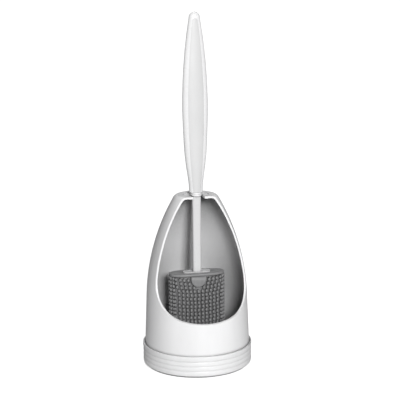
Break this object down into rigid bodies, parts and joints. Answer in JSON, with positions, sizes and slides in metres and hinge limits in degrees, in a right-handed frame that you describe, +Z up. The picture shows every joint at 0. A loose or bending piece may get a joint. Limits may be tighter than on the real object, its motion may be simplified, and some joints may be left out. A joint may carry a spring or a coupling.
{
  "type": "toilet brush holder",
  "caption": "Free-standing toilet brush with a paddle-shaped silicone head, hung by its collar in a bell-shaped, open-fronted holder on a round drip tray.",
  "frame": {"origin": "centre of the underside, on the surface that the foot ring stands on", "axes": "+Z up along the brush, -Y towards the holder's open front, +X to the right as seen from the front"},
  "size_m": [0.13, 0.13, 0.4166],
  "materials": {
    "shell_plastic": "moulded white, high gloss",
    "tray_plastic": "moulded white, gloss",
    "foot_rubber": "soft grey anti-slip rubber",
    "handle_plastic": "moulded white, high gloss",
    "panel_plastic": "very pale grey, satin",
    "collar_plastic": "moulded white, satin gloss",
    "shaft_plastic": "moulded white, satin gloss",
    "core_plastic": "moulded white, satin",
    "head_silicone": "matt mid-grey silicone"
  },
  "bodies": {
    "base": {"foot_ring": "foot_rubber", "base_tray": "tray_plastic"},
    "holder": {"holder_shell": "shell_plastic"},
    "brush": {"neck_collar": "collar_plastic", "shaft": "shaft_plastic", "handle_body": "handle_plastic", "front_panel": "panel_plastic", "head_core": "core_plastic", "head_silicone": "head_silicone"}
  },
  "joints": [
    {"name": "shell_lift", "type": "slide", "parent": "base", "child": "holder", "axis": [0, 0, 1], "range_m": [0, 0.04]},
    {"name": "brush_lift_out", "type": "slide", "parent": "holder", "child": "brush", "axis": [0, -0.6, 0.8], "range_m": [0, 0.14]}
  ]
}
